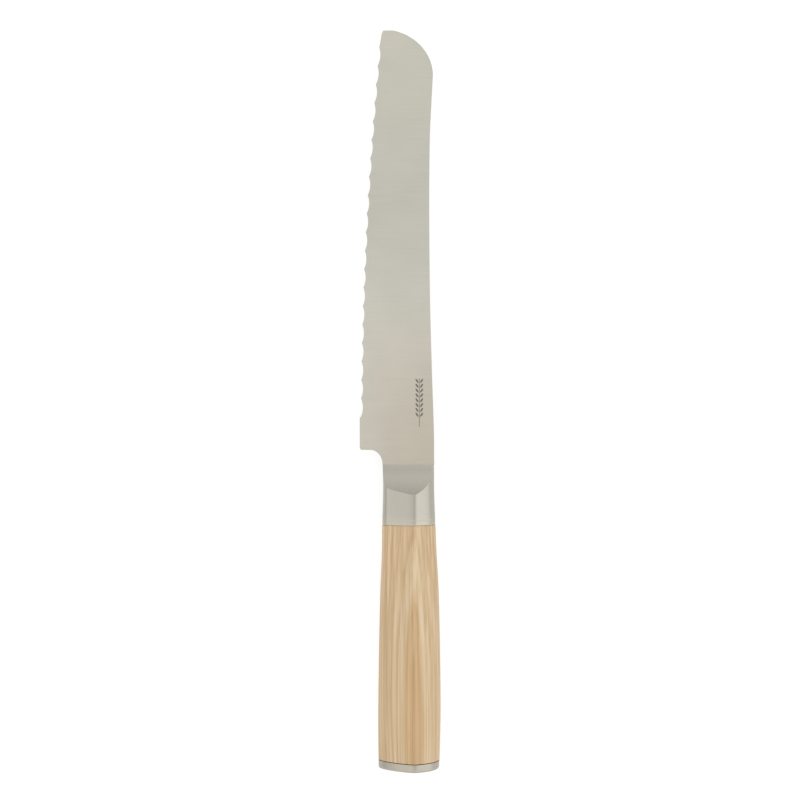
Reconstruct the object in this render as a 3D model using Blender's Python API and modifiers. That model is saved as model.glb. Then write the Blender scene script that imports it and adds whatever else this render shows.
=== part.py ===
"""Bread knife: serrated blade, ridged steel bolster, wooden grip on a hidden tang, steel end cap.

The knife lies flat: its tip points along +Y, its cutting edge along -X, and the blade's left face up.
Shapes are written in a working frame whose origin is on the handle's ridge line, at the butt face and
in the blade's mid-plane. There x runs from the edge to the spine, and y is the station from the butt.
An empty carries that frame, so the finished knife is centred on X and Y and touches Z = 0.
"""

import math

import bmesh
import bpy
from mathutils import Vector

MM = 0.001
GAP = 0.3 * MM

# Stations along the knife
OVERALL_LENGTH = 336.1 * MM
REAR_SEAM = 3.9 * MM
FRONT_SEAM = 111.0 * MM
BLADE_ROOT = 138.4 * MM
NOTCH_STATION = 144.9 * MM
FIRST_TOOTH = 160.0 * MM

# Handle outline: station, ridge to belly side, ridge to spine side, half thickness
HANDLE_STATIONS = [
    (0.0 * MM, 16.40 * MM, 11.30 * MM, 10.70 * MM),
    (25.0 * MM, 16.55 * MM, 11.90 * MM, 10.90 * MM),
    (55.0 * MM, 16.15 * MM, 11.60 * MM, 10.45 * MM),
    (82.0 * MM, 15.55 * MM, 10.95 * MM, 9.25 * MM),
    (98.0 * MM, 14.90 * MM, 10.05 * MM, 8.35 * MM),
    (111.0 * MM, 14.75 * MM, 9.50 * MM, 7.60 * MM),
    (127.0 * MM, 14.35 * MM, 8.95 * MM, 7.00 * MM),
    (140.0 * MM, 14.60 * MM, 8.90 * MM, 6.70 * MM),
]
SPINE_SIDE_MOST = 11.90 * MM
HALF_THICKNESS = 10.90 * MM

# The handle's section falls from the ridge to each side by a facet, and ends in a rounded wall.
# Each side gives, at the butt and at the front, the facet's drop as a share of the half thickness,
# the facet's curve, and how blunt the wall is.
BELLY_FACET = ((0.63, 1.0, 4.0), (0.49, 1.0, 13.0))
SPINE_FACET = ((0.47, 1.0, 5.0), (0.83, 1.0, 5.0))
RIDGE_SOFTNESS = 0.06
SECTION_STEPS = 10

# Blade outline
HEEL_X = -24.95 * MM
HEEL_CORNER_RADIUS = 1.1 * MM
NOTCH_DEPTH = 5.6 * MM
WEB_BELLY_X = -14.60 * MM
EDGE_LOWEST_X = -24.45 * MM
EDGE_LOWEST_STATION = 155.0 * MM
EDGE_RADIUS = 1797.0 * MM
TOOTH_COUNT = 20
TOOTH_PITCH = 8.415 * MM
SCALLOP_DEPTH = 0.87 * MM
SCALLOP_STEPS = 6
TIP_CENTRE = (-15.4 * MM, 315.5 * MM)
TIP_RADII = (23.75 * MM, 21.2 * MM)
TIP_CORNER = (-14.95 * MM, 334.8 * MM)
TIP_CORNER_WIDTH = 0.75 * MM
SPINE_POINTS = [
    (138.0 * MM, 8.90 * MM),
    (152.0 * MM, 8.85 * MM),
    (180.0 * MM, 7.95 * MM),
    (212.0 * MM, 7.10 * MM),
    (256.0 * MM, 6.70 * MM),
    (288.0 * MM, 7.00 * MM),
    (304.0 * MM, 7.75 * MM),
    (315.5 * MM, 8.35 * MM),
]

# Blade thickness tapers from spine to edge and from root to tip
ROOT_SPINE_HALF = 1.2 * MM
TAPER_ACROSS = 0.025
TAPER_ALONG = 0.00177
GRIND_ANGLE = math.radians(18)

# The bolster's faces sweep up from the blade's root with this radius
SCOOP_RADIUS = 18.0 * MM
SCOOP_SWEEP = math.radians(62)

# Hidden tang and its fastening
TANG_X = -1.6 * MM
TANG_WIDTH, TANG_THICKNESS = 7.0 * MM, 3.0 * MM
TANG_SHOULDER = 18.0 * MM
TANG_SOCKET_END = 120.4 * MM
THREAD_RADIUS = 3.0 * MM
THREAD_END = 5.3 * MM
THREAD_ROOT = TANG_SHOULDER + 1.0 * MM
BORE_RADIUS = 5.1 * MM
COUNTERBORE_RADIUS = 7.0 * MM
COUNTERBORE_FLOOR = 13.2 * MM
WASHER_RADIUS, WASHER_THICKNESS = 6.6 * MM, 1.6 * MM
NUT_ACROSS_FLATS, NUT_THICKNESS, NUT_CHAMFER = 10.0 * MM, 5.0 * MM, 0.5 * MM

# End cap and its locating pins
CAP_RIM_RADIUS = 1.0 * MM
PIN_X = {"cap_pin_belly": -12.1 * MM, "cap_pin_spine": 8.4 * MM}
PIN_RADIUS, PIN_START, PIN_END = 1.5 * MM, 2.4 * MM, 13.0 * MM

# How far a cutter runs past the face it opens
OVERRUN = 1.0 * MM


# ---- scene and objects ----


def clear_scene():
    for obj in list(bpy.data.objects):
        bpy.data.objects.remove(obj, do_unlink=True)


def make_collection(name):
    collection = bpy.data.collections.new(name)
    bpy.context.scene.collection.children.link(collection)
    return collection


def make_material(name, colour, metallic, roughness):
    material = bpy.data.materials.new(name)
    material.use_nodes = True
    shader = material.node_tree.nodes["Principled BSDF"]
    shader.inputs["Base Color"].default_value = (*colour, 1.0)
    shader.inputs["Metallic"].default_value = metallic
    shader.inputs["Roughness"].default_value = roughness
    return material


def make_working_frame(collection):
    frame = bpy.data.objects.new("working_frame", None)
    collection.objects.link(frame)
    frame.location = (-(HEEL_X + SPINE_SIDE_MOST) / 2, -OVERALL_LENGTH / 2, HALF_THICKNESS)
    return frame


class Shop:
    """Where pieces and cutters are made: their collections and the frame that holds them."""

    def __init__(self):
        self.parts = make_collection("bread_knife")
        self.cutters = make_collection("cutters")
        self.cutters.hide_render = True
        self.frame = make_working_frame(self.parts)

    def add(self, name, collection, fill, x):
        mesh = bpy.data.meshes.new(name)
        bm = bmesh.new()
        fill(bm)
        bmesh.ops.recalc_face_normals(bm, faces=bm.faces)
        bm.to_mesh(mesh)
        bm.free()
        mesh.shade_smooth()
        mesh.set_sharp_from_angle(angle=math.radians(30))
        obj = bpy.data.objects.new(name, mesh)
        collection.objects.link(obj)
        obj.parent = self.frame
        obj.location.x = x
        return obj

    def part(self, name, material, fill, x=0.0):
        obj = self.add(name, self.parts, fill, x)
        obj.data.materials.append(material)
        return obj

    def cutter(self, name, fill, x=0.0):
        obj = self.add(name, self.cutters, fill, x)
        obj.hide_render = True
        obj.display_type = "WIRE"
        return obj


def combine(obj, tool, operation="DIFFERENCE"):
    modifier = obj.modifiers.new(operation.title() + "_" + tool.name, "BOOLEAN")
    modifier.operation = operation
    modifier.object = tool


# ---- shapes ----


def fill_loft(bm, rings):
    """Closed body through rings that hold the same number of points."""
    loops = [[bm.verts.new(point) for point in ring] for ring in rings]
    count = len(rings[0])
    for first, second in zip(loops, loops[1:]):
        for k in range(count):
            following = (k + 1) % count
            bm.faces.new((first[k], first[following], second[following], second[k]))
    bm.faces.new(reversed(loops[0]))
    bm.faces.new(loops[-1])


def turn_to_y(verts, middle):
    """Lays what stands along z down along y, with its middle at a station."""
    for vert in verts:
        vert.co = Vector((vert.co.x, middle - vert.co.z, vert.co.y))


def rod(radius, start, end, segments=32):
    """A cylinder or prism along y, between two stations."""

    def fill(bm):
        made = bmesh.ops.create_cone(
            bm, cap_ends=True, segments=segments, radius1=radius, radius2=radius, depth=end - start
        )
        turn_to_y(made["verts"], (start + end) / 2)

    return fill


def bar(width, thickness, start, end):
    """A rectangular bar along y, between two stations."""

    def fill(bm):
        made = bmesh.ops.create_cube(bm, size=1.0)
        bmesh.ops.scale(bm, vec=(width, thickness, end - start), verts=made["verts"])
        turn_to_y(made["verts"], (start + end) / 2)

    return fill


def smooth_value(rows, station, column):
    """A column's value at a station, on a smooth curve through the rows."""
    last = len(rows) - 1
    i = max(k for k in range(last) if k == 0 or rows[k][0] <= station)

    def slope(k):
        before, after = rows[max(k - 1, 0)], rows[min(k + 1, last)]
        return (after[column] - before[column]) / (after[0] - before[0])

    span = rows[i + 1][0] - rows[i][0]
    t = (station - rows[i][0]) / span
    rise = rows[i + 1][column] - rows[i][column]
    m0, m1 = slope(i) * span, slope(i + 1) * span
    return rows[i][column] + m0 * t + (3 * rise - 2 * m0 - m1) * t**2 + (m0 + m1 - 2 * rise) * t**3


def evenly(start, end, steps):
    """Values from start to end in equal steps, both included."""
    return [start + (end - start) * k / steps for k in range(steps + 1)]


# ---- handle section ----


def facet_height(across, drop, curve, bluntness):
    """Height over the mid-plane, as a share of the half thickness, from ridge (0) to side (1)."""
    softened = math.hypot(across, RIDGE_SOFTNESS) - RIDGE_SOFTNESS
    return (1 - drop * softened**curve) * math.sqrt(max(0.0, 1 - across**bluntness))


def handle_section(station, inset=0.0):
    """The handle's closed outline at a station, with a ridge on the left face and on the right."""
    toward_front = station / BLADE_ROOT
    belly, spine, half = (smooth_value(HANDLE_STATIONS, station, column) - inset for column in (1, 2, 3))

    def side(width, facet):
        profile = [butt + (front - butt) * toward_front for butt, front in zip(*facet)]
        shares = [(1 - math.cos(math.pi * k / SECTION_STEPS)) / 2 for k in range(SECTION_STEPS + 1)]
        return [(width * share, half * facet_height(share, *profile)) for share in shares]

    upper = side(spine, SPINE_FACET)[::-1] + side(-belly, BELLY_FACET)[1:]
    lower = [(x, -z) for x, z in upper[-2:0:-1]]
    return [Vector((x, station, z)) for x, z in upper + lower]


def handle_body(start, end, steps):
    return lambda bm: fill_loft(bm, [handle_section(y) for y in evenly(start, end, steps)])


# ---- blade ----


def blade_half(x, station):
    """Half the blade's thickness at a point of its outline."""
    return ROOT_SPINE_HALF - TAPER_ACROSS * (SPINE_POINTS[0][1] - x) - TAPER_ALONG * (station - BLADE_ROOT)


def edge_x(station):
    """The line through the tooth points, an arc of a very large circle."""
    return EDGE_LOWEST_X + (station - EDGE_LOWEST_STATION) ** 2 / (2 * EDGE_RADIUS)


def arc(centre, radii, start, end, steps):
    angles = evenly(start, end, steps)
    return [(centre[0] + radii[0] * math.cos(a), centre[1] + radii[1] * math.sin(a)) for a in angles]


def spine_outline():
    stations = evenly(BLADE_ROOT + GAP, TIP_CENTRE[1], 20)
    return [(smooth_value(SPINE_POINTS, y, 1), y) for y in stations[:-1]]


def tip_outline():
    """An elliptic arc, cut off by the flat end of the tip."""
    end_angle = math.asin((OVERALL_LENGTH - TIP_CENTRE[1]) / TIP_RADII[1])
    flat_end = (TIP_CORNER[0] + TIP_CORNER_WIDTH, OVERALL_LENGTH)
    return arc(TIP_CENTRE, TIP_RADII, 0.0, end_angle, 14) + [flat_end]


def serrated_outline():
    """Scallops from the tip to the heel, each a shallow curve between two tooth points."""
    points = [TIP_CORNER]
    for tooth in reversed(range(TOOTH_COUNT)):
        for k in range(SCALLOP_STEPS, 0, -1):
            share = k / SCALLOP_STEPS
            station = FIRST_TOOTH + (tooth + share) * TOOTH_PITCH
            points.append((edge_x(station) + 4 * SCALLOP_DEPTH * share * (1 - share), station))
    return points + [(edge_x(FIRST_TOOTH), FIRST_TOOTH)]


def heel_outline():
    """The plain heel, its small corner, and the notch that leads to the bolster."""
    step_end = (HEEL_X, FIRST_TOOTH - 0.5 * MM)
    corner_centre = (HEEL_X + HEEL_CORNER_RADIUS, NOTCH_STATION + HEEL_CORNER_RADIUS)
    corner = arc(corner_centre, (HEEL_CORNER_RADIUS,) * 2, math.pi, 1.5 * math.pi, 3)
    notch_centre = (WEB_BELLY_X - NOTCH_DEPTH, BLADE_ROOT + GAP)
    notch_radii = (NOTCH_DEPTH, NOTCH_STATION - notch_centre[1])
    return [step_end] + corner + arc(notch_centre, notch_radii, math.pi / 2, 0.0, 10)


def grind_width(x, station):
    """How far the teeth are ground back on the right face."""
    return 2 * blade_half(x, station) / math.tan(GRIND_ANGLE)


def fill_blade(bm):
    """The outline on both faces; on the right one the teeth are ground back to a bevel."""
    before = spine_outline() + tip_outline()
    teeth = serrated_outline()
    after = heel_outline()
    ground = [(x + grind_width(x, y), y) for x, y in teeth]
    left = [Vector((x, y, blade_half(x, y))) for x, y in before + teeth + after]
    right = [Vector((x, y, -blade_half(x, y))) for x, y in before + ground + after]
    fill_loft(bm, [left, right])


# ---- pieces ----


def scoop(side):
    """A block over one face of the bolster, whose inner side is the blade's face swept up."""
    belly, spine, top = -30.0 * MM, 20.0 * MM, 25.0 * MM

    def ring(station, rise):
        inner = [(x, side * (blade_half(x, station) + rise)) for x in (belly, spine)]
        outer = [(spine, side * top), (belly, side * top)]
        return [Vector((x, station, z)) for x, z in inner + outer]

    def fill(bm):
        rings = [ring(BLADE_ROOT + OVERRUN, 0.0)]
        for angle in evenly(0.0, SCOOP_SWEEP, 16):
            station = BLADE_ROOT - SCOOP_RADIUS * math.sin(angle)
            rings.append(ring(station, SCOOP_RADIUS * (1 - math.cos(angle))))
        fill_loft(bm, rings)

    return fill


def tang_sleeve(start, end):
    """A bar around the tang with the gap on each side, for the openings that take it."""
    return bar(TANG_WIDTH + 2 * GAP, TANG_THICKNESS + 2 * GAP, start, end)


def make_bolster(shop, material):
    bolster = shop.part("bolster", material, handle_body(FRONT_SEAM + GAP / 2, BLADE_ROOT, 12))
    combine(bolster, shop.cutter("scoop_left", scoop(1)))
    combine(bolster, shop.cutter("scoop_right", scoop(-1)))
    socket = tang_sleeve(FRONT_SEAM - OVERRUN, TANG_SOCKET_END)
    combine(bolster, shop.cutter("tang_socket", socket, TANG_X))


def make_grip(shop, material):
    grip = shop.part("wooden_grip", material, handle_body(REAR_SEAM + GAP / 2, FRONT_SEAM - GAP / 2, 16))
    rear = REAR_SEAM - OVERRUN
    combine(grip, shop.cutter("tang_bore", rod(BORE_RADIUS, rear, FRONT_SEAM + OVERRUN), TANG_X))
    combine(grip, shop.cutter("counterbore", rod(COUNTERBORE_RADIUS, rear, COUNTERBORE_FLOOR), TANG_X))
    for name, x in PIN_X.items():
        hole = rod(PIN_RADIUS + GAP, rear, PIN_END + GAP, 24)
        combine(grip, shop.cutter(name + "_hole", hole, x))


def make_tang(shop, material):
    flat = bar(TANG_WIDTH, TANG_THICKNESS, TANG_SHOULDER, TANG_SOCKET_END - GAP)
    tang = shop.part("tang", material, flat, TANG_X)
    thread = rod(THREAD_RADIUS, THREAD_END, THREAD_ROOT, 24)
    combine(tang, shop.cutter("tang_thread", thread, TANG_X), "UNION")


def make_epoxy(shop, material):
    core = rod(BORE_RADIUS - GAP, THREAD_ROOT + GAP, FRONT_SEAM - GAP)
    epoxy = shop.part("tang_epoxy", material, core, TANG_X)
    channel = tang_sleeve(TANG_SHOULDER, FRONT_SEAM + OVERRUN)
    combine(epoxy, shop.cutter("tang_channel", channel, TANG_X))


def make_washer_and_nut(shop, material):
    washer_end = COUNTERBORE_FLOOR - GAP
    washer_start = washer_end - WASHER_THICKNESS
    nut_end = washer_start - GAP
    corner_radius = NUT_ACROSS_FLATS / math.sqrt(3)
    washer = shop.part("tang_washer", material, rod(WASHER_RADIUS, washer_start, washer_end), TANG_X)
    nut = shop.part("tang_nut", material, rod(corner_radius, nut_end - NUT_THICKNESS, nut_end, 6), TANG_X)
    ease = nut.modifiers.new("Ease", "BEVEL")
    ease.width = NUT_CHAMFER
    ease.segments = 2
    clearance = rod(THREAD_RADIUS + GAP, REAR_SEAM, COUNTERBORE_FLOOR + OVERRUN, 24)
    hole = shop.cutter("thread_clearance", clearance, TANG_X)
    combine(washer, hole)
    combine(nut, hole)


def fill_cap(bm):
    """The cap's outside, with a rounded rim around its flat rear face."""
    rings = []
    for angle in evenly(0.0, math.pi / 2, 5):
        station = CAP_RIM_RADIUS * (1 - math.cos(angle))
        section = handle_section(station, CAP_RIM_RADIUS * (1 - math.sin(angle)))
        rings.append(section)
    rings.append(handle_section(REAR_SEAM - GAP / 2))
    fill_loft(bm, rings)


def make_end_cap(shop, material, pin_material):
    cap = shop.part("end_cap", material, fill_cap)
    for name, x in PIN_X.items():
        pocket = rod(PIN_RADIUS + GAP, PIN_START - GAP, REAR_SEAM + OVERRUN, 24)
        combine(cap, shop.cutter(name + "_pocket", pocket, x))
        shop.part(name, pin_material, rod(PIN_RADIUS, PIN_START, PIN_END, 24), x)


def build_knife():
    clear_scene()
    shop = Shop()
    shop.part("blade", make_material("blade_steel", (0.56, 0.53, 0.46), 1.0, 0.38), fill_blade)
    make_bolster(shop, make_material("bolster_steel", (0.52, 0.50, 0.45), 1.0, 0.32))
    make_grip(shop, make_material("pale_wood", (0.62, 0.45, 0.29), 0.0, 0.55))
    inner_steel = make_material("inner_steel", (0.42, 0.42, 0.42), 1.0, 0.45)
    make_tang(shop, inner_steel)
    make_epoxy(shop, make_material("adhesive", (0.12, 0.08, 0.05), 0.0, 0.40))
    make_washer_and_nut(shop, inner_steel)
    make_end_cap(shop, make_material("cap_steel", (0.50, 0.46, 0.38), 1.0, 0.30), inner_steel)


build_knife()
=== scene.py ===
"""Bread knife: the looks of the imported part, with its light, floor and camera.

The four outer pieces are rebuilt as fine meshes after their CAD nodes: the blade with its scallops and
eased spine, the bolster with its ridge and scoops, the wooden grip and the end cap. The handle's walls
are a little blunter than in CAD, and the seam between bolster and grip lies slightly further back.
Shapes are written in the knife's working frame: x runs from the cutting edge to the spine with 0 on
the handle's ridge line, y is the station from the butt, and z rises from the blade's mid-plane.
"""

import math

import bmesh
import bpy
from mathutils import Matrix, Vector


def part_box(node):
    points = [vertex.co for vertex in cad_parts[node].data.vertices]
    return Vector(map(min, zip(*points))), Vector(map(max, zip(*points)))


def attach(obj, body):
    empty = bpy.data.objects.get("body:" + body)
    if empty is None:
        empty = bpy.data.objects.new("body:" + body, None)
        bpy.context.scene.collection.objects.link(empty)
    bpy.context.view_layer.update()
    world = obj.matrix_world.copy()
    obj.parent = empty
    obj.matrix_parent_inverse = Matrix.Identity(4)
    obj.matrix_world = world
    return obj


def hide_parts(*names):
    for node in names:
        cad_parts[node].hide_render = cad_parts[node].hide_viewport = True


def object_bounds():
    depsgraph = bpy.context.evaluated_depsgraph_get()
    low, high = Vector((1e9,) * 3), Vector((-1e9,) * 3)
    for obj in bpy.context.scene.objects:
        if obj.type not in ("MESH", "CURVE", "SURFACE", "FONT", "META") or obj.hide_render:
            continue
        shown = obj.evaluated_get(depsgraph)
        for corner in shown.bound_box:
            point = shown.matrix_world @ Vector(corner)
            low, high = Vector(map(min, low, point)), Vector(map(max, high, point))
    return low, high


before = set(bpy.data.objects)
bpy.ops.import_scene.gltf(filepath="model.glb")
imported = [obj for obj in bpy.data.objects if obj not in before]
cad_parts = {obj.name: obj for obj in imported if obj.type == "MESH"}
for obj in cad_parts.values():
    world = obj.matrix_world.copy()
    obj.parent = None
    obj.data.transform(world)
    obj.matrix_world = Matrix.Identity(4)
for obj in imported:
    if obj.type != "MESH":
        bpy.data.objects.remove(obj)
cad_low, cad_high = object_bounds()

MM = 0.001
GAP = 0.3 * MM

# Handle outline: station, ridge to belly side, ridge to spine side, half thickness
HANDLE_STATIONS = [
    (0.0 * MM, 16.40 * MM, 11.30 * MM, 10.70 * MM),
    (25.0 * MM, 16.55 * MM, 11.90 * MM, 10.90 * MM),
    (55.0 * MM, 16.15 * MM, 11.60 * MM, 10.45 * MM),
    (82.0 * MM, 15.55 * MM, 10.95 * MM, 9.25 * MM),
    (98.0 * MM, 14.90 * MM, 10.05 * MM, 8.35 * MM),
    (111.0 * MM, 14.75 * MM, 9.50 * MM, 7.60 * MM),
    (127.0 * MM, 14.35 * MM, 8.95 * MM, 7.00 * MM),
    (140.0 * MM, 14.60 * MM, 8.90 * MM, 6.70 * MM),
]
REAR_SEAM = 3.9 * MM
FRONT_SEAM = 110.8 * MM
BLADE_ROOT = 138.4 * MM

# Each side's facet at the butt and at the front: its drop, how blunt the wall is, how soft the ridge is
BELLY_FACET = ((0.63, 4.0, 0.11), (0.51, 20.0, 0.13))
SPINE_FACET = ((0.47, 5.0, 0.11), (0.86, 7.5, 0.12))

# Blade outline
HEEL_X = -24.95 * MM
HEEL_CORNER_RADIUS = 1.1 * MM
HEEL_FRONT_EASE = 0.5 * MM
NOTCH_STATION = 144.9 * MM
NOTCH_DEPTH = 5.6 * MM
WEB_BELLY_X = -14.60 * MM
FIRST_TOOTH = 160.0 * MM
EDGE_LOWEST_X = -24.45 * MM
EDGE_LOWEST_STATION = 155.0 * MM
EDGE_RADIUS = 1797.0 * MM
TOOTH_COUNT = 20
TOOTH_PITCH = 8.415 * MM
SCALLOP_DEPTH = 0.87 * MM
TIP_STATION = 336.1 * MM
TIP_CENTRE = (-15.4 * MM, 315.5 * MM)
TIP_RADII = (23.75 * MM, 21.2 * MM)
TIP_CORNER = (-14.95 * MM, 334.8 * MM)
TIP_CORNER_WIDTH = 0.75 * MM
SPINE_POINTS = [
    (138.0 * MM, 8.90 * MM),
    (152.0 * MM, 8.85 * MM),
    (180.0 * MM, 7.95 * MM),
    (212.0 * MM, 7.10 * MM),
    (256.0 * MM, 6.70 * MM),
    (288.0 * MM, 7.00 * MM),
    (304.0 * MM, 7.75 * MM),
    (315.5 * MM, 8.35 * MM),
]

# Blade thickness, grind and eased edges
ROOT_SPINE_HALF = 1.2 * MM
TAPER_ACROSS = 0.025
TAPER_ALONG = 0.00177
GRIND_ANGLE = math.radians(18)
EDGE_LAND = 0.03 * MM
SPINE_EASE = 0.14 * MM
HEEL_EASE = 0.12 * MM

# Bolster and end cap
SCOOP_RADIUS = 18.0 * MM
LINE_STATION = FRONT_SEAM + 2.2 * MM
LINE_DEPTH = 0.10 * MM
LINE_HALF_WIDTH = 0.16 * MM
SEAM_ROLL = 0.16 * MM
SEAM_EASE = 0.10 * MM
GLUE_LINE = 0.04 * MM
CAP_RIM_RADIUS = 1.0 * MM

# Openings for the hidden tang and the cap's pins
CAP_PINS = ("cap_pin_belly", "cap_pin_spine")
COUNTERBORE_CLEARANCE = 0.4 * MM
OVERRUN = 1.0 * MM

# How finely the shapes are divided
SECTION_STEPS = 34
SPINE_STEPS = 90
TIP_STEPS = 48
SCALLOP_STEPS = 24
CORNER_STEPS = 8
NOTCH_STEPS = 24
RIM_STEPS = 3
SEAM_STEPS = 6
FACET_STEPS = 24
SCOOP_STEPS = 24
GRIP_STEPS = 90
CAP_RIM_STEPS = 8
CAP_WALL_STEPS = 4
CREASE_HALVINGS = 40
ROD_SEGMENTS = 64
MERGE_DISTANCE = 1e-7

# Steels: colour, roughness, grinding lines in cells a metre along X, Y and Z, contrast of the lines
BLADE_STEEL = ((0.552, 0.535, 0.462), 0.30, (40.0, 2200.0, 2200.0), 0.03)
# The blade's rim is the blade's own steel in a darker colour: painted shade on its eased edges and the
# teeth's bevels
SHADED_RIM_STEEL = ((0.42, 0.41, 0.365), 0.30, (400.0, 400.0, 400.0), 0.03)
BOLSTER_STEEL = ((0.393, 0.377, 0.328), 0.25, (1500.0, 40.0, 300.0), 0.02)
CAP_STEEL = ((0.39, 0.363, 0.311), 0.25, (400.0, 400.0, 400.0), 0.04)
INNER_STEEL = ((0.50, 0.50, 0.49), 0.35, (400.0, 1500.0, 400.0), 0.05)
LINES = {"detail": 3.0, "roughness": 0.65}
LINES_LOW, LINES_HIGH = 0.25, 0.75
LINES_DEPTH = 0.002 * MM
LINES_GLOSS, SMUDGES_GLOSS = 0.10, 0.08
SMUDGES = {"scale": (60.0, 60.0, 60.0), "detail": 3.0}
SMUDGE_TONES = ((0.3, (0.97, 0.97, 0.975)), (0.7, (1.0, 1.0, 1.0)))

# Painted reflection along the knife, brighter and darker bands on the steel that stand in for its light:
# Y, then the tint there
BLADE_PAINTED_SHEEN = (
    (-30.0 * MM, (0.905, 0.860, 0.835)),
    (5.0 * MM, (0.955, 0.920, 0.910)),
    (32.0 * MM, (0.970, 0.955, 0.965)),
    (50.0 * MM, (0.950, 0.955, 0.985)),
    (85.0 * MM, (0.885, 0.900, 0.915)),
    (146.0 * MM, (0.930, 0.925, 0.940)),
)
# Painted highlights on the bolster: brighter at its front seam and where its scoop meets the blade
BOLSTER_PAINTED_HIGHLIGHTS = (
    (-57.3 * MM, (1.12, 1.08, 1.00)),
    (-56.0 * MM, (1.06, 1.05, 1.02)),
    (-52.5 * MM, (1.0, 1.0, 1.0)),
    (-32.6 * MM, (1.0, 1.0, 1.0)),
    (-29.6 * MM, (1.12, 1.12, 1.12)),
)

# Painted reflection across the blade near its heel, lighter and cooler towards the edge and darker towards
# the spine: X, then the tint there; it fades in from START to END along Y
HEEL_PAINTED_SHEEN = (
    (-18.0 * MM, (1.025, 1.050, 1.090)),
    (-6.0 * MM, (1.000, 1.005, 1.010)),
    (10.0 * MM, (0.955, 0.955, 0.945)),
)
HEEL_SHEEN_START, HEEL_SHEEN_END = 50.0 * MM, 0.0

# Etched wheat ear: where it starts, its grains, its stem and how it covers the steel
EAR_X, EAR_START = 8.7 * MM, -12.6 * MM
GRAIN_PITCH = 2.2 * MM
GRAIN_PAIRS = 8
GRAIN_OFFSET = 1.05 * MM
GRAIN_RADII = (0.42 * MM, 1.12 * MM)
GRAIN_SLANT = math.radians(34)
GRAIN_INSIDE, GRAIN_OUTSIDE = 0.8, 1.1
STEM_HALF_WIDTH = 0.14 * MM
STEM_LENGTH = 22.0 * MM
ETCHED_TONE = (0.11, 0.10, 0.08, 1.0)
ETCHED_COVER = 0.85

# Wood noises: cells a metre along X, Y and Z, and what sets each apart from the others
WANDER = {"scale": (90.0, 4.5, 90.0)}
RIPPLE = {"scale": (500.0, 14.0, 500.0), "shift": (3.0, 1.0, 2.0)}
STREAKS = {"scale": (480.0, 4.0, 480.0), "detail": 3.0, "shift": (7.0, 2.0, 1.0)}
THREADS = {"scale": (1150.0, 6.0, 1150.0), "shift": (2.0, 9.0, 4.0)}
FIBRES = {"scale": (2600.0, 26.0, 2600.0), "detail": 4.0, "roughness": 0.6}
MOTTLE = {"scale": (60.0, 14.0, 60.0), "shift": (1.0, 5.0, 3.0)}
PORES = {"scale": (3600.0, 110.0, 3600.0), "detail": 1.0, "shift": (5.0, 5.0, 5.0)}

# Growth rings around a pith line along Y: where they are, how they bend, and their tones
PITH_X, PITH_Z = 5.5 * MM, 60.0 * MM
RING_START, RING_SPACING = 41.4 * MM, 1.5 * MM
WANDER_REACH = 1.3 * MM
RIPPLE_REACH = 0.16 * MM
RING_TONES = (
    (0.0, (0.445, 0.306, 0.172)),
    (0.16, (0.492, 0.362, 0.224)),
    (0.50, (0.512, 0.388, 0.246)),
    (0.82, (0.492, 0.358, 0.220)),
    (1.0, (0.445, 0.306, 0.172)),
)
PALE_START, PALE_FULL, PALE_COVER = 41.5 * MM, 41.1 * MM, 0.65
PALE_TONE = (0.530, 0.412, 0.268, 1.0)
HEART_START, HEART_FULL, HEART_COVER = 40.0 * MM, 39.6 * MM, 0.85
HEART_TONE = (0.452, 0.303, 0.158, 1.0)

# Tints of the noises over the rings
STREAK_TONES = ((0.32, (0.94, 0.92, 0.89)), (0.50, (1.0, 1.0, 1.0)), (0.68, (1.045, 1.06, 1.08)))
THREAD_TONES = ((0.38, (0.90, 0.87, 0.825)), (0.50, (1.0, 1.0, 1.0)), (0.62, (1.06, 1.08, 1.105)))
FIBRE_TONES = ((0.30, (0.92, 0.91, 0.89)), (0.60, (1.0, 1.0, 1.0)))
MOTTLE_TONES = ((0.30, (1.01, 0.995, 0.97)), (0.70, (1.07, 1.075, 1.085)))
PORE_EDGE, PORE_FULL, PORE_COVER = 0.66, 0.74, 0.30
PORE_TONE = (0.34, 0.22, 0.12, 1.0)
WOOD_ROUGHNESS = (0.62, 0.46)
WOOD_SPECULAR = 0.35
FIBRE_DEPTH = 0.02 * MM

# Epoxy
EPOXY_TONES = ((0.3, (0.09, 0.06, 0.035)), (0.7, (0.15, 0.10, 0.06)))
EPOXY_CLOUD = {"scale": (300.0, 300.0, 300.0)}
EPOXY_ROUGHNESS = (0.3, 0.45)
EPOXY_DEPTH = 0.02 * MM

# Floor: half its side in metres, and a pale surface that is mostly lit by itself
FLOOR_REACH = 2.5
FLOOR_CELLS = 8
FLOOR_GRAIN = {"scale": (140.0, 140.0, 140.0), "detail": 3.0}
FLOOR_TONES = ((0.3, (0.30, 0.30, 0.30)), (0.7, (0.315, 0.315, 0.315)))
FLOOR_ROUGHNESS = (0.75, 0.85)
FLOOR_SPECULAR = 0.2
FLOOR_GLOW = 0.73
FLOOR_DEPTH = 0.02 * MM

# The part of a noise's range over which gloss changes
NOISE_LOW, NOISE_HIGH = 0.3, 0.7

# Sockets of a Mix node for colours: its two inputs and its result
MIX_FIRST, MIX_SECOND, MIX_RESULT = 6, 7, 2

# Camera
CAMERA_DISTANCE = 650.0 * MM
VIEW_WIDTH = 364.8 * MM
VIEW_CENTRE = (-0.09 * MM, -0.41 * MM)
SENSOR_WIDTH = 36.0
CLIP_START = 10.0 * MM

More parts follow.
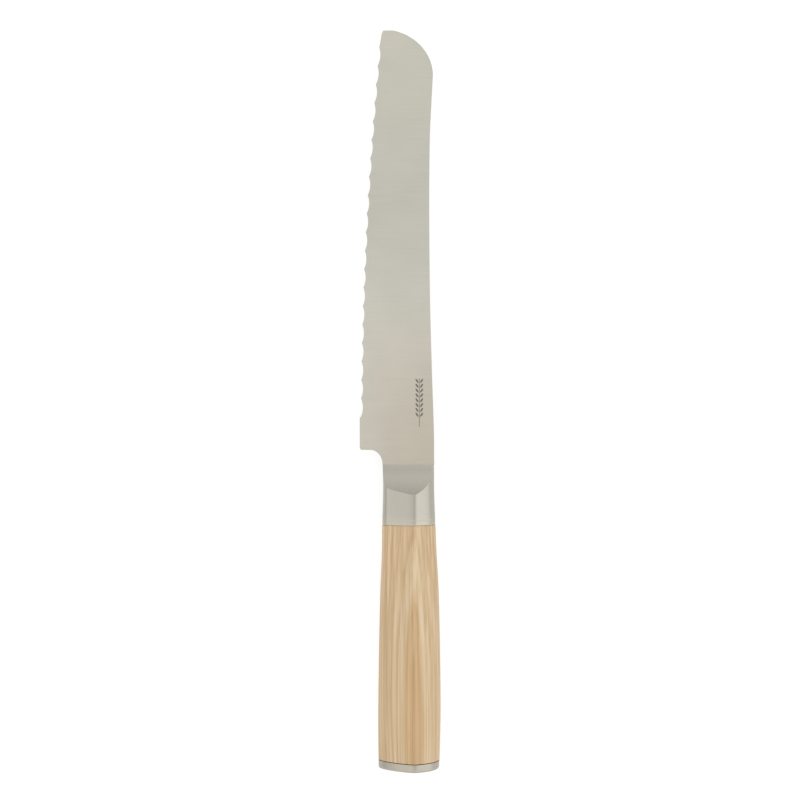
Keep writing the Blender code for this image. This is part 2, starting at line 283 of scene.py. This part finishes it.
# Sky: its level, then where it is brighter or darker, as direction, sharpness and strength
SKY_COLOUR = (1.0, 0.995, 0.985, 1.0)
SKY_LEVEL = 1.24
SKY_GLOWS = [
    ((0.0, 0.0, 1.0), 11.0, -0.31),
    ((0.88, 0.0, 0.47), 8.0, 0.44),
    ((1.0, 0.0, 0.0), 36.0, -0.60),
    ((-0.60, 0.0, 0.80), 6.0, 0.17),
    ((-1.0, 0.0, 0.0), 8.0, -0.46),
    ((0.0, -0.80, 0.60), 4.0, 0.15),
    ((0.0, -1.0, 0.0), 12.0, -0.50),
    ((0.0, 1.0, 0.05), 4.0, -0.26),
]

# The working frame's origin in the row frame
ORIGIN = Vector((cad_low[0] - HEEL_X, cad_low[1], (cad_low[2] + cad_high[2]) / 2))


# ---- shapes ----


def smooth_value(rows, station, column):
    """A column's value at a station, on a smooth curve through the rows."""
    last = len(rows) - 1
    i = max(k for k in range(last) if k == 0 or rows[k][0] <= station)

    def slope(k):
        before, after = rows[max(k - 1, 0)], rows[min(k + 1, last)]
        return (after[column] - before[column]) / (after[0] - before[0])

    span = rows[i + 1][0] - rows[i][0]
    t = (station - rows[i][0]) / span
    rise = rows[i + 1][column] - rows[i][column]
    m0, m1 = slope(i) * span, slope(i + 1) * span
    return rows[i][column] + m0 * t + (3 * rise - 2 * m0 - m1) * t**2 + (m0 + m1 - 2 * rise) * t**3


def evenly(start, end, steps):
    """Values from start to end in equal steps, both included."""
    return [start + (end - start) * k / steps for k in range(steps + 1)]


def mirrored(upper):
    """A closed ring: the points of its upper half, then their mirror images below the mid-plane."""
    return upper + [Vector((point.x, point.y, -point.z)) for point in upper[-2:0:-1]]


def facet_height(across, drop, bluntness, softness):
    """Height over the mid-plane, as a share of the half thickness, from ridge (0) to side (1)."""
    softened = math.hypot(across, softness) - softness
    return (1 - drop * softened) * math.sqrt(max(0.0, 1 - across**bluntness))


def handle_height(station, share, half):
    """Height of the handle's surface where share runs from -1 at the belly to 1 at the spine."""
    toward_front = station / BLADE_ROOT
    facet = SPINE_FACET if share > 0 else BELLY_FACET
    profile = [butt + (front - butt) * toward_front for butt, front in zip(*facet)]
    return half * facet_height(abs(share), *profile)


def handle_point(station, share, inset=0.0):
    """A point of the handle's upper surface, as x and z."""
    belly, spine, half = (smooth_value(HANDLE_STATIONS, station, column) - inset for column in (1, 2, 3))
    return (spine if share > 0 else belly) * share, handle_height(station, share, half)


def section_shares():
    """Shares across the handle, closer together at the ridge and at the walls."""
    side = [(1 - math.cos(math.pi * k / SECTION_STEPS)) / 2 for k in range(SECTION_STEPS + 1)]
    return side[:0:-1] + [-share for share in side]


def handle_ring(station, inset=0.0):
    """The handle's closed outline at a station."""
    upper = [handle_point(station, share, inset) for share in section_shares()]
    return mirrored([Vector((x, station, z)) for x, z in upper])


def blade_half(x, station):
    """Half the blade's thickness at a point of its outline."""
    return ROOT_SPINE_HALF - TAPER_ACROSS * (SPINE_POINTS[0][1] - x) - TAPER_ALONG * (station - BLADE_ROOT)


def grind_width(x, station):
    """How far the teeth are ground back on the right face."""
    return 2 * blade_half(x, station) / math.tan(GRIND_ANGLE)


def edge_x(station):
    """The line through the tooth points, an arc of a very large circle."""
    return EDGE_LOWEST_X + (station - EDGE_LOWEST_STATION) ** 2 / (2 * EDGE_RADIUS)


def arc(centre, radii, start, end, steps):
    """Points on an elliptic arc, both ends included."""
    angles = evenly(start, end, steps)
    return [(centre[0] + radii[0] * math.cos(a), centre[1] + radii[1] * math.sin(a)) for a in angles]


def spine_and_tip():
    """The spine from the weld, then the elliptic tip, cut off by its flat end."""
    spine = [(smooth_value(SPINE_POINTS, y, 1), y) for y in evenly(BLADE_ROOT, TIP_CENTRE[1], SPINE_STEPS)]
    end_angle = math.asin((TIP_STATION - TIP_CENTRE[1]) / TIP_RADII[1])
    flat_end = (TIP_CORNER[0] + TIP_CORNER_WIDTH, TIP_STATION)
    return spine[:-1] + arc(TIP_CENTRE, TIP_RADII, 0.0, end_angle, TIP_STEPS) + [flat_end]


def teeth():
    """Scallops from the tip to the heel, each a shallow curve between two tooth points."""
    points = [TIP_CORNER]
    for tooth in reversed(range(TOOTH_COUNT)):
        for k in range(SCALLOP_STEPS, 0, -1):
            share = k / SCALLOP_STEPS
            station = FIRST_TOOTH + (tooth + share) * TOOTH_PITCH
            points.append((edge_x(station) + 4 * SCALLOP_DEPTH * share * (1 - share), station))
    return points + [(edge_x(FIRST_TOOTH), FIRST_TOOTH)]


def heel():
    """The plain heel, its small corner, and the notch that leads to the bolster."""
    front = (HEEL_X, FIRST_TOOTH - HEEL_FRONT_EASE)
    corner_centre = (HEEL_X + HEEL_CORNER_RADIUS, NOTCH_STATION + HEEL_CORNER_RADIUS)
    corner_radii = (HEEL_CORNER_RADIUS, HEEL_CORNER_RADIUS)
    corner = arc(corner_centre, corner_radii, math.pi, 1.5 * math.pi, CORNER_STEPS)
    notch_centre = (WEB_BELLY_X - NOTCH_DEPTH, BLADE_ROOT)
    notch_radii = (NOTCH_DEPTH, NOTCH_STATION - BLADE_ROOT)
    return [front] + corner + arc(notch_centre, notch_radii, math.pi / 2, 0.0, NOTCH_STEPS)


def inward(points, k):
    """The unit vector that points into a closed outline at its point k."""
    before, after = points[k - 1], points[(k + 1) % len(points)]
    along = Vector((after[0] - before[0], after[1] - before[1])).normalized()
    return Vector((-along.y, along.x))


# ---- meshes ----


class Body:
    """A mesh in the making, in the working frame."""

    def __init__(self, name):
        self.name = name
        self.bm = bmesh.new()

    def ring(self, points):
        return [self.bm.verts.new(point) for point in points]

    def band(self, first, second, material=0):
        """Faces between two rings that hold the same number of points."""
        for k in range(len(first)):
            following = (k + 1) % len(first)
            face = self.bm.faces.new((first[k], first[following], second[following], second[k]))
            face.material_index = material

    def bands(self, rings, material=0):
        for first, second in zip(rings, rings[1:]):
            self.band(first, second, material)

    def cap(self, ring):
        """Closes a ring with one face that keeps its own crisp border."""
        face = self.bm.faces.new(ring)
        for edge in face.edges:
            edge.smooth = False

    def finish(self, *materials):
        """Turns the mesh into a smooth object in the row frame, with its faces outward."""
        bmesh.ops.remove_doubles(self.bm, verts=self.bm.verts, dist=MERGE_DISTANCE)
        bmesh.ops.recalc_face_normals(self.bm, faces=self.bm.faces)
        bmesh.ops.translate(self.bm, vec=ORIGIN, verts=self.bm.verts)
        for face in self.bm.faces:
            face.smooth = True
        obj = new_object(self.name, self.bm)
        for material in materials:
            obj.data.materials.append(material)
        return obj


def new_object(name, bm):
    """A scene object that takes over a finished bmesh."""
    mesh = bpy.data.meshes.new(name)
    bm.to_mesh(mesh)
    bm.free()
    obj = bpy.data.objects.new(name, mesh)
    bpy.context.scene.collection.objects.link(obj)
    return obj


def loft(name, rings, material):
    """A closed body through rings that hold the same number of points."""
    body = Body(name)
    made = [body.ring(ring) for ring in rings]
    body.bands(made)
    body.cap(made[0])
    body.cap(made[-1])
    return body.finish(material)


# ---- openings ----


def middle_between(node, low_y, high_y):
    """The middle of a CAD node's box across the knife, halfway between two places along it."""
    low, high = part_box(node)
    return Vector(((low.x + high.x) / 2, (low_y + high_y) / 2, (low.z + high.z) / 2))


def rod_around(node, growth, low_y, high_y):
    """A round cutter on a CAD node's axis, wider than the node by growth all round."""
    low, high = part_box(node)
    radius = (high.z - low.z) / 2 + growth
    length = high_y - low_y
    bm = bmesh.new()
    bmesh.ops.create_cone(
        bm, cap_ends=True, segments=ROD_SEGMENTS, radius1=radius, radius2=radius, depth=length
    )
    middle = middle_between(node, low_y, high_y)
    for vert in bm.verts:
        vert.co = middle + Vector((vert.co.x, -vert.co.z, vert.co.y))
    return new_object("cutter", bm)


def bar_around(node, growth, low_y, high_y):
    """A square-edged cutter around a CAD node, wider than the node by growth all round."""
    low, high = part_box(node)
    extent = Vector((high.x - low.x + 2 * growth, high_y - low_y, high.z - low.z + 2 * growth))
    bm = bmesh.new()
    bmesh.ops.create_cube(bm, size=1.0)
    middle = middle_between(node, low_y, high_y)
    for vert in bm.verts:
        vert.co = middle + vert.co * extent
    return new_object("cutter", bm)


def open_up(obj, cutters):
    """Cuts openings in a piece, then takes the cutters away."""
    for tool in cutters:
        modifier = obj.modifiers.new("Opening", "BOOLEAN")
        modifier.solver = "EXACT"
        modifier.object = tool
    graph = bpy.context.evaluated_depsgraph_get()
    opened = bpy.data.meshes.new_from_object(obj.evaluated_get(graph))
    obj.modifiers.clear()
    obj.data = opened
    for tool in cutters:
        bpy.data.objects.remove(tool)


# ---- pieces ----


def make_blade(steel, rim):
    """Two flat faces, an eased rim, and teeth ground back on the right face to the left face's edge."""
    before, teeth_points, after = spine_and_tip(), teeth(), heel()
    points = before + teeth_points + after
    eases = [SPINE_EASE] * len(before) + [0.0] * len(teeth_points) + [HEEL_EASE] * len(after)
    ground = range(len(before), len(before) + len(teeth_points))
    inwards = [inward(points, k) for k in range(len(points))]
    # The two corners at the weld move along x only, which keeps them in its plane
    inwards[0] = inwards[-1] = Vector((1.0, 0.0))

    def level(side, angle):
        """A ring of the rim: angle 0 lies on the face, and a right angle on the outline itself."""
        ring = []
        for k, (x, y) in enumerate(points):
            spot = Vector((x, y)) + inwards[k] * eases[k] * (1 - math.sin(angle))
            height = blade_half(x, y) - eases[k] * (1 - math.cos(angle))
            if k in ground and side < 0:
                spot.x += grind_width(x, y)
            if k in ground and side > 0 and angle > 0:
                height -= EDGE_LAND
            ring.append(Vector((spot.x, spot.y, side * height)))
        return ring

    angles = evenly(0.0, math.pi / 2, RIM_STEPS)
    body = Body("blade_body")
    rings = [body.ring(level(1, a)) for a in angles] + [body.ring(level(-1, a)) for a in reversed(angles)]
    body.bands(rings, 1)
    body.cap(rings[0])
    body.cap(rings[-1])
    return body.finish(steel, rim)


def scoop_height(x, station):
    """Height of the scoop's floor, which leaves the blade's face on an arc."""
    back = max(0.0, BLADE_ROOT - station)
    if back >= SCOOP_RADIUS:
        return math.inf
    return blade_half(x, min(station, BLADE_ROOT)) + SCOOP_RADIUS - math.sqrt(SCOOP_RADIUS**2 - back**2)


def crease_station(share):
    """Where the scoop cuts the handle's surface on one line of equal share."""
    low, high = BLADE_ROOT - SCOOP_RADIUS, BLADE_ROOT
    for _ in range(CREASE_HALVINGS):
        middle = (low + high) / 2
        x, z = handle_point(middle, share)
        if z < scoop_height(x, middle):
            low = middle
        else:
            high = middle
    return high


def bolster_ring(stations, inset=0.0):
    """A ring with a station for each share, on the facets or, where that is lower, in the scoop."""
    upper = []
    for share, station in zip(section_shares(), stations):
        x, z = handle_point(station, share, inset)
        upper.append(Vector((x, station, min(z, scoop_height(x, station)))))
    return mirrored(upper)


def seam_rows(start):
    """Stations and insets from the seam, where the surface rolls down, to the end of the fine line."""
    rows = [(start, SEAM_ROLL + SEAM_EASE)]
    for t in evenly(1.0, 0.0, SEAM_STEPS)[:-1]:
        rows.append((LINE_STATION - t * (LINE_STATION - start - SEAM_EASE), SEAM_ROLL * t**2))
    rows.append((LINE_STATION - LINE_HALF_WIDTH, 0.0))
    rows.append((LINE_STATION, LINE_DEPTH))
    rows.append((LINE_STATION + LINE_HALF_WIDTH, 0.0))
    return rows


def rings_between(starts, ends, steps):
    """Rings that lead from one row of stations to another, without the first."""
    rings = []
    for t in evenly(0.0, 1.0, steps)[1:]:
        rings.append(bolster_ring([start + (end - start) * t for start, end in zip(starts, ends)]))
    return rings


def make_bolster(steel):
    """Facets from the seam to the crease, then the scoop's floor from the crease to the blade."""
    creases = [crease_station(share) for share in section_shares()]
    line_ends = [LINE_STATION + LINE_HALF_WIDTH] * len(creases)
    blade_roots = [BLADE_ROOT] * len(creases)
    seam = [bolster_ring([y] * len(creases), inset) for y, inset in seam_rows(FRONT_SEAM + GLUE_LINE / 2)]
    facets = rings_between(line_ends, creases, FACET_STEPS)
    scoops = rings_between(creases, blade_roots, SCOOP_STEPS)
    body = Body("bolster_body")
    rings = [body.ring(points) for points in seam + facets + scoops]
    body.bands(rings)
    crease_ring = rings[len(seam) + len(facets) - 1]
    for k in range(len(crease_ring)):
        body.bm.edges.get((crease_ring[k - 1], crease_ring[k])).smooth = False
    body.cap(rings[0])
    body.cap(rings[-1])
    bolster = body.finish(steel)
    socket_start, socket_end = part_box("bolster")[0].y - OVERRUN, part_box("tang")[1].y + GAP
    open_up(bolster, [bar_around("tang", GAP, socket_start, socket_end)])
    return bolster


def make_grip(wood):
    """The wooden grip, bored for the tang and its nut, with two holes for the cap's pins."""
    start, end = REAR_SEAM + GAP / 2, FRONT_SEAM - GLUE_LINE / 2
    rings = [handle_ring(start, SEAM_EASE)]
    rings += [handle_ring(y) for y in evenly(start + SEAM_EASE, end - SEAM_EASE, GRIP_STEPS)]
    rings.append(handle_ring(end, SEAM_EASE))
    grip = loft("grip_body", rings, wood)
    low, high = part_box("wooden_grip")
    rear = low.y - OVERRUN
    cutters = [
        rod_around("tang_epoxy", GAP, rear, high.y + OVERRUN),
        rod_around("tang_washer", COUNTERBORE_CLEARANCE, rear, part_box("tang_washer")[1].y + GAP),
    ]
    cutters += [rod_around(pin, GAP, rear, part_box(pin)[1].y + GAP) for pin in CAP_PINS]
    open_up(grip, cutters)
    return grip


def make_cap(steel):
    """The end cap, with a rounded rim around its flat rear face and two pockets for the pins."""
    rings = []
    for angle in evenly(0.0, math.pi / 2, CAP_RIM_STEPS):
        station = CAP_RIM_RADIUS * (1 - math.cos(angle))
        rings.append(handle_ring(station, CAP_RIM_RADIUS * (1 - math.sin(angle))))
    end = REAR_SEAM - GAP / 2
    rings += [handle_ring(y) for y in evenly(CAP_RIM_RADIUS, end - SEAM_EASE, CAP_WALL_STEPS)[1:]]
    rings.append(handle_ring(end, SEAM_EASE))
    cap = loft("cap_body", rings, steel)
    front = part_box("end_cap")[1].y + OVERRUN
    open_up(cap, [rod_around(pin, GAP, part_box(pin)[0].y - GAP, front) for pin in CAP_PINS])
    return cap


# ---- materials ----


class Nodes:
    """A node tree, and short ways to add to it."""

    def __init__(self, tree):
        self.tree = tree

    def add(self, kind, inputs=(), **settings):
        node = self.tree.nodes.new(kind)
        for name, value in settings.items():
            setattr(node, name, value)
        for key, value in dict(inputs).items():
            self.feed(node.inputs[key], value)
        return node

    def feed(self, socket, value):
        """Links a socket to another one, or sets it to a constant."""
        if isinstance(value, bpy.types.NodeSocket):
            self.tree.links.new(value, socket)
        else:
            socket.default_value = value

    def math(self, operation, a, b=0.0, c=0.0):
        return self.add("ShaderNodeMath", {0: a, 1: b, 2: c}, operation=operation).outputs[0]


class Paint(Nodes):
    """A node material: its shader, and patterns that are fixed to the knife."""

    def __init__(self, name):
        self.material = bpy.data.materials.new(name)
        self.material.use_nodes = True
        super().__init__(self.material.node_tree)
        self.shader = self.tree.nodes["Principled BSDF"]
        self.place = self.add("ShaderNodeTexCoord").outputs["Object"]

    def surface(self, inputs):
        """Feeds the shader's sockets by name."""
        for name, value in inputs.items():
            self.feed(self.shader.inputs[name], value)

    def noise(self, scale, detail=2.0, roughness=0.5, shift=(0.0, 0.0, 0.0)):
        """Noise whose scale is in cells a metre along each axis."""
        mapped = self.add("ShaderNodeMapping", {"Vector": self.place, "Scale": scale, "Location": shift})
        inputs = {"Vector": mapped.outputs[0], "Scale": 1.0, "Detail": detail, "Roughness": roughness}
        return self.add("ShaderNodeTexNoise", inputs).outputs["Fac"]

    def ramp(self, value, *stops):
        """A colour that runs through stops of position and colour."""
        node = self.add("ShaderNodeValToRGB", {"Fac": value})
        elements = node.color_ramp.elements
        while len(elements) < len(stops):
            elements.new(1.0)
        for element, (position, colour) in zip(elements, stops):
            element.position = position
            element.color = (*colour, 1.0)
        return node.outputs["Color"]

    def remap(self, value, low, high, to_low, to_high):
        inputs = {"Value": value, "From Min": low, "From Max": high, "To Min": to_low, "To Max": to_high}
        return self.add("ShaderNodeMapRange", inputs).outputs["Result"]

    def blend(self, amount, first, second, how="MIX"):
        """Two colours, mixed by an amount or combined in another way."""
        node = self.add("ShaderNodeMix", {0: amount}, data_type="RGBA", blend_type=how)
        self.feed(node.inputs[MIX_FIRST], first)
        self.feed(node.inputs[MIX_SECOND], second)
        return node.outputs[MIX_RESULT]

    def place_part(self, axis):
        """One coordinate of the place that is shaded."""
        return self.add("ShaderNodeSeparateXYZ", {0: self.place}).outputs[axis]

    def tint(self, tone, axis, tones, amount=1.0):
        """The tone times a tint that changes along an axis, from stops of place and colour."""
        start, end = tones[0][0], tones[-1][0]
        reach = self.remap(self.place_part(axis), start, end, 0.0, 1.0)
        stops = [((place - start) / (end - start), colour) for place, colour in tones]
        return self.blend(amount, tone, self.ramp(reach, *stops), "MULTIPLY")

    def bump(self, height, distance):
        bumped = self.add("ShaderNodeBump", {"Height": height, "Distance": distance, "Strength": 1.0})
        self.surface({"Normal": bumped.outputs["Normal"]})


def shade(colour, factor):
    return tuple(channel * factor for channel in colour)


def satin_steel(name, colour, roughness, brush_scale, contrast, painted_sheen_and_marks=None):
    """Steel with fine grinding lines, faint smudges and slightly uneven gloss."""
    paint = Paint(name)
    lines = paint.noise(brush_scale, **LINES)
    smudges = paint.noise(**SMUDGES)
    dark, light = shade(colour, 1 - contrast), shade(colour, 1 + contrast)
    grain = paint.ramp(lines, (LINES_LOW, dark), (LINES_HIGH, light))
    tone = paint.blend(1.0, grain, paint.ramp(smudges, *SMUDGE_TONES), "MULTIPLY")
    # Painted sheen, and on the blade also the etched mark, multiplied into the tone
    if painted_sheen_and_marks:
        tone = painted_sheen_and_marks(paint, tone)
    lines_part = paint.math("MULTIPLY", lines, LINES_GLOSS)
    smudges_part = paint.math("MULTIPLY", smudges, SMUDGES_GLOSS)
    uneven = paint.math("ADD", lines_part, smudges_part)
    smoothest = roughness - (LINES_GLOSS + SMUDGES_GLOSS) / 2
    gloss = paint.math("ADD", uneven, smoothest)
    paint.surface({"Base Color": tone, "Roughness": gloss, "Metallic": 1.0})
    paint.bump(lines, LINES_DEPTH)
    return paint.material


def bolster_painted_highlights(paint, tone):
    # Painted highlights at the bolster's front seam and at the blade's root
    return paint.tint(tone, "Y", BOLSTER_PAINTED_HIGHLIGHTS)


def rim_painted_sheen(paint, tone):
    # Painted reflection along the blade's rim, the same bands as on its faces
    return paint.tint(tone, "Y", BLADE_PAINTED_SHEEN)


def blade_sheen_and_etching(paint, tone):
    """The blade's painted reflection, in bands along it and lighter and cooler towards the edge near the
    heel, then the etched mark.
    """
    tone = paint.tint(tone, "Y", BLADE_PAINTED_SHEEN)
    near_heel = paint.remap(paint.place_part("Y"), HEEL_SHEEN_START, HEEL_SHEEN_END, 0.0, 1.0)
    # Painted reflection across the blade, lighter towards the edge near the heel
    tone = paint.tint(tone, "X", HEEL_PAINTED_SHEEN, near_heel)
    return paint.blend(paint.math("MULTIPLY", wheat_ear(paint), ETCHED_COVER), tone, ETCHED_TONE)


def grain_spread(paint, across, along):
    """Distance from the middle of the nearest slanted grain, squared, and 1 at the grain's outline."""
    cell = paint.math("FRACT", paint.math("DIVIDE", along, GRAIN_PITCH))
    u = paint.math("SUBTRACT", across, GRAIN_OFFSET)
    v = paint.math("MULTIPLY", paint.math("SUBTRACT", cell, 0.5), GRAIN_PITCH)
    cosine, sine = math.cos(GRAIN_SLANT), math.sin(GRAIN_SLANT)
    wide = paint.math("SUBTRACT", paint.math("MULTIPLY", u, cosine), paint.math("MULTIPLY", v, sine))
    long = paint.math("ADD", paint.math("MULTIPLY", u, sine), paint.math("MULTIPLY", v, cosine))
    scaled = [paint.math("DIVIDE", part, radius) for part, radius in zip((wide, long), GRAIN_RADII)]
    return paint.math("ADD", *[paint.math("MULTIPLY", part, part) for part in scaled])


def wheat_ear(paint):
    """Where the etched mark covers the left face: slanted grains in pairs on a stem."""
    across = paint.math("ABSOLUTE", paint.math("SUBTRACT", paint.place_part("X"), EAR_X))
    along = paint.math("SUBTRACT", paint.place_part("Y"), EAR_START)
    half_ear = GRAIN_PAIRS * GRAIN_PITCH / 2
    in_ear = paint.math("COMPARE", along, STEM_LENGTH - half_ear, half_ear)
    covered = paint.remap(grain_spread(paint, across, along), GRAIN_INSIDE, GRAIN_OUTSIDE, 1.0, 0.0)
    grains = paint.math("MULTIPLY", covered, in_ear)
    on_stem = paint.math("COMPARE", along, STEM_LENGTH / 2, STEM_LENGTH / 2)
    stem = paint.math("MULTIPLY", paint.math("LESS_THAN", across, STEM_HALF_WIDTH), on_stem)
    left_face = paint.math("GREATER_THAN", paint.place_part("Z"), ORIGIN.z)
    return paint.math("MULTIPLY", paint.math("MAXIMUM", grains, stem), left_face)


def ring_radius(paint):
    """Distance from the pith line, bent so that the rings wander and ripple along the grip."""
    sideways = paint.math("SUBTRACT", paint.place_part("X"), PITH_X)
    below = paint.math("SUBTRACT", paint.place_part("Z"), PITH_Z)
    squares = [paint.math("MULTIPLY", part, part) for part in (sideways, below)]
    radius = paint.math("SQRT", paint.math("ADD", *squares))
    wander = paint.math("SUBTRACT", paint.noise(**WANDER), 0.5)
    bent = paint.math("MULTIPLY_ADD", wander, WANDER_REACH, radius)
    return paint.math("MULTIPLY_ADD", paint.noise(**RIPPLE), RIPPLE_REACH, bent)


def ring_tone(paint):
    """Growth rings that turn pale and then golden close to the pith."""
    radius = ring_radius(paint)
    turns = paint.math("DIVIDE", paint.math("SUBTRACT", radius, RING_START), RING_SPACING)
    rings = paint.ramp(paint.math("FRACT", turns), *RING_TONES)
    pale = paint.remap(radius, PALE_START, PALE_FULL, 0.0, PALE_COVER)
    heart = paint.remap(radius, HEART_START, HEART_FULL, 0.0, HEART_COVER)
    return paint.blend(heart, paint.blend(pale, rings, PALE_TONE), HEART_TONE)


def pale_wood():
    """Ash: growth rings that the tapering grip cuts into long flames, with streaks, fibres and pores."""
    paint = Paint("ash_wood")
    fibres = paint.noise(**FIBRES)
    tone = ring_tone(paint)
    tone = paint.blend(1.0, tone, paint.ramp(paint.noise(**STREAKS), *STREAK_TONES), "MULTIPLY")
    tone = paint.blend(1.0, tone, paint.ramp(paint.noise(**THREADS), *THREAD_TONES), "MULTIPLY")
    tone = paint.blend(1.0, tone, paint.ramp(fibres, *FIBRE_TONES), "MULTIPLY")
    tone = paint.blend(1.0, tone, paint.ramp(paint.noise(**MOTTLE), *MOTTLE_TONES), "MULTIPLY")
    pits = paint.remap(paint.noise(**PORES), PORE_EDGE, PORE_FULL, 0.0, PORE_COVER)
    inputs = {
        "Base Color": paint.blend(pits, tone, PORE_TONE),
        "Roughness": paint.remap(fibres, NOISE_LOW, NOISE_HIGH, *WOOD_ROUGHNESS),
        "Specular IOR Level": WOOD_SPECULAR,
    }
    paint.surface(inputs)
    paint.bump(paint.math("SUBTRACT", fibres, pits), FIBRE_DEPTH)
    return paint.material


def epoxy():
    """Dark, slightly cloudy adhesive."""
    paint = Paint("cured_epoxy")
    cloud = paint.noise(**EPOXY_CLOUD)
    gloss = paint.remap(cloud, NOISE_LOW, NOISE_HIGH, *EPOXY_ROUGHNESS)
    paint.surface({"Base Color": paint.ramp(cloud, *EPOXY_TONES), "Roughness": gloss})
    paint.bump(cloud, EPOXY_DEPTH)
    return paint.material


def studio_floor():
    """A matte surface that gives off most of its light itself, so shadows on it stay faint."""
    paint = Paint("studio_floor")
    grain = paint.noise(**FLOOR_GRAIN)
    inputs = {
        "Base Color": paint.ramp(grain, *FLOOR_TONES),
        "Roughness": paint.remap(grain, NOISE_LOW, NOISE_HIGH, *FLOOR_ROUGHNESS),
        "Specular IOR Level": FLOOR_SPECULAR,
        "Emission Color": (1.0, 1.0, 1.0, 1.0),
        "Emission Strength": FLOOR_GLOW,
    }
    paint.surface(inputs)
    paint.bump(grain, FLOOR_DEPTH)
    return paint.material


# ---- studio ----


def make_floor():
    """A wide flat sheet, level with the knife's lowest point."""
    bm = bmesh.new()
    bmesh.ops.create_grid(bm, x_segments=FLOOR_CELLS, y_segments=FLOOR_CELLS, size=FLOOR_REACH)
    bmesh.ops.translate(bm, vec=(0.0, 0.0, cad_low[2]), verts=bm.verts)
    floor = new_object("floor", bm)
    floor.data.materials.append(studio_floor())


def make_sky():
    """A white room with bright and dark regions that shape the reflections in the steel."""
    world = bpy.data.worlds.new("studio")
    world.use_nodes = True
    bpy.context.scene.world = world
    nodes = Nodes(world.node_tree)
    direction = nodes.add("ShaderNodeTexCoord").outputs["Generated"]
    total = SKY_LEVEL
    for towards, sharpness, strength in SKY_GLOWS:
        inputs = {0: direction, 1: Vector(towards).normalized()}
        facing = nodes.add("ShaderNodeVectorMath", inputs, operation="DOT_PRODUCT").outputs["Value"]
        glow = nodes.math("POWER", nodes.math("MAXIMUM", facing, 0.0), sharpness)
        total = nodes.math("ADD", nodes.math("MULTIPLY", glow, strength), total)
    background = world.node_tree.nodes["Background"]
    nodes.feed(background.inputs["Strength"], total)
    nodes.feed(background.inputs["Color"], SKY_COLOUR)


def make_camera():
    """A camera straight above the knife, with its tip up."""
    data = bpy.data.cameras.new("camera")
    camera = bpy.data.objects.new("camera", data)
    bpy.context.scene.collection.objects.link(camera)
    data.sensor_width = SENSOR_WIDTH
    data.lens = SENSOR_WIDTH * CAMERA_DISTANCE / VIEW_WIDTH
    data.clip_start = CLIP_START
    camera.location = (*VIEW_CENTRE, ORIGIN.z + CAMERA_DISTANCE)
    bpy.context.scene.camera = camera


# ---- assembly ----


def set_piece(obj, node):
    """Puts a rebuilt piece in the place of its CAD node."""
    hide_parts(node)
    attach(obj, "root")


def repaint(node, material):
    """Gives a piece that keeps its CAD mesh a material of its own."""
    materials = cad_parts[node].data.materials
    materials.clear()
    materials.append(material)


blade_steel = satin_steel("blade_satin", *BLADE_STEEL, blade_sheen_and_etching)
# The blade's rim, its steel painted darker as shade
shaded_rim_steel = satin_steel("blade_rim_painted_shade", *SHADED_RIM_STEEL, rim_painted_sheen)
bolster_steel = satin_steel("bolster_satin", *BOLSTER_STEEL, bolster_painted_highlights)
cap_steel = satin_steel("cap_satin", *CAP_STEEL)
inner_steel = satin_steel("machined_steel", *INNER_STEEL)

set_piece(make_blade(blade_steel, shaded_rim_steel), "blade")
set_piece(make_bolster(bolster_steel), "bolster")
set_piece(make_grip(pale_wood()), "wooden_grip")
set_piece(make_cap(cap_steel), "end_cap")
for name in ("tang", "tang_washer", "tang_nut", *CAP_PINS):
    repaint(name, inner_steel)
repaint("tang_epoxy", epoxy())

make_floor()
make_sky()
make_camera()
bpy.context.scene.view_settings.view_transform = "Standard"
